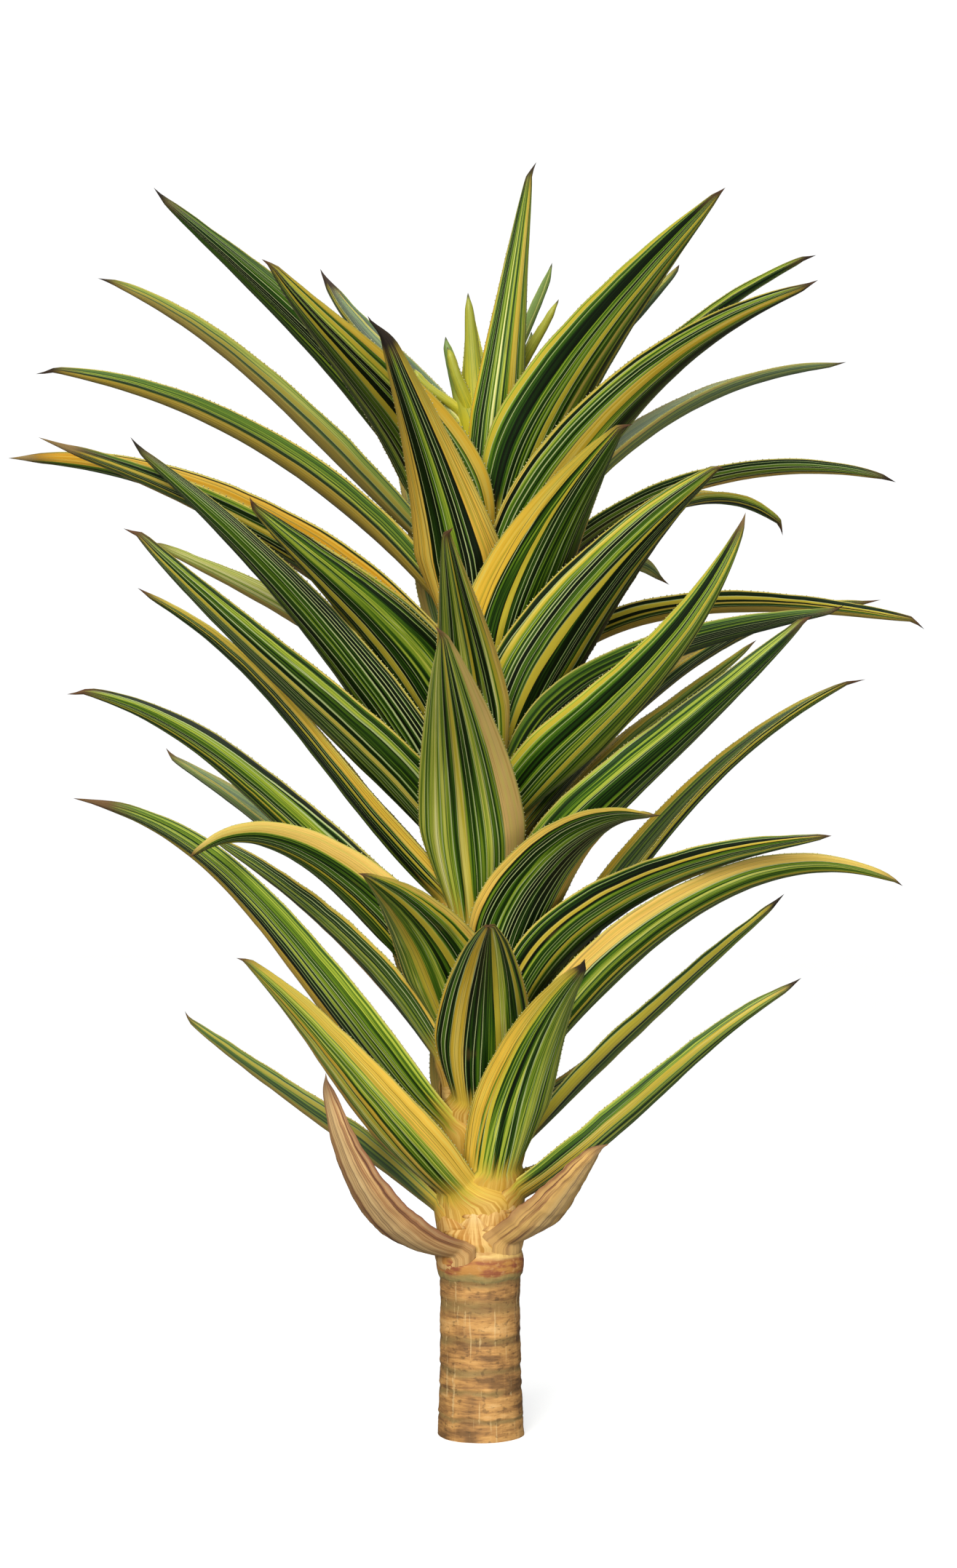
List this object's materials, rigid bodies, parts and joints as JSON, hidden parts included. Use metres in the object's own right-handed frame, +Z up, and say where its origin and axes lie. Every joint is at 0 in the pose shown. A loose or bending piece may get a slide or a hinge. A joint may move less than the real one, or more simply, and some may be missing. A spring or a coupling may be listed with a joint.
{
  "type": "tree aloe",
  "caption": "Variegated tree aloe: one bare ringed stem under a tall spiral crown of arching, channelled leaves striped green and yellow, with two withered leaves below.",
  "frame": {"origin": "centre of the flat cut under the stem, at ground level", "axes": "+Z up along the stem, -Y towards the viewer of the picture, +X to that viewer's right"},
  "size_m": [1.0841, 0.8326, 1.4217],
  "materials": {
    "stem_bark": "matt ringed bark",
    "leaf_green": "satin waxy leaf",
    "leaf_striped": "satin waxy leaf",
    "heart_yellow": "satin young leaf",
    "withered_tan": "matt dry leaf"
  },
  "bodies": {
    "root": {"stem": "stem_bark", "heart": "heart_yellow", "leaf_front_low_right": "leaf_green", "leaf_left_lowest": "leaf_striped", "leaf_right_lowest": "leaf_green", "leaf_left_low_striped": "leaf_striped", "leaf_back_low_a": "leaf_green", "leaf_left_long_thin": "leaf_green", "leaf_right_low_dark_tip": "leaf_striped", "leaf_front_low": "leaf_green", "leaf_back_low_b": "leaf_striped", "leaf_right_low_spear": "leaf_green", "leaf_left_curled": "leaf_striped", "leaf_back_low_c": "leaf_green", "leaf_front_right_low": "leaf_striped", "leaf_left_low_pale": "leaf_green", "leaf_right_low_pale": "leaf_striped", "leaf_front_left_low": "leaf_green", "leaf_back_mid_a": "leaf_striped", "leaf_right_low_broad": "leaf_green", "leaf_left_mid_red_tip": "leaf_striped", "leaf_right_back_mid": "leaf_green", "leaf_front_mid_broad": "leaf_striped", "leaf_left_back_mid": "leaf_green", "leaf_right_mid_olive": "leaf_striped", "leaf_left_front_mid": "leaf_green", "leaf_front_right_mid": "leaf_green", "leaf_left_mid": "leaf_striped", "leaf_right_mid_long": "leaf_green", "leaf_front_mid_narrow": "leaf_striped", "leaf_back_mid_b": "leaf_green", "leaf_right_mid_dark": "leaf_striped", "leaf_left_mid_dark_tip": "leaf_green", "leaf_right_back_drooping": "leaf_striped", "leaf_front_right_yellow": "leaf_green", "leaf_left_back_pale": "leaf_striped", "leaf_right_arching": "leaf_green", "leaf_left_front_dark": "leaf_striped", "leaf_back_high_a": "leaf_green", "leaf_right_front_dark": "leaf_striped", "leaf_left_golden_long": "leaf_green", "leaf_right_back_arching": "leaf_striped", "leaf_front_high_peach": "leaf_green", "leaf_back_high_b": "leaf_striped", "leaf_right_high_arching": "leaf_green", "leaf_left_broken_tip": "leaf_striped", "leaf_back_high_c": "leaf_green", "leaf_right_high_front": "leaf_striped", "leaf_left_high_edge_on": "leaf_green", "leaf_right_high_pale": "leaf_striped", "leaf_left_front_high": "leaf_green", "leaf_left_back_high_thin": "leaf_striped", "leaf_right_front_high": "leaf_green", "leaf_left_high_broad": "leaf_striped", "leaf_right_back_high": "leaf_green", "leaf_front_upright": "leaf_striped", "leaf_left_back_high_broad": "leaf_green", "leaf_right_top_thin": "leaf_striped", "withered_left": "withered_tan", "withered_right": "withered_tan"}
  },
  "joints": []
}
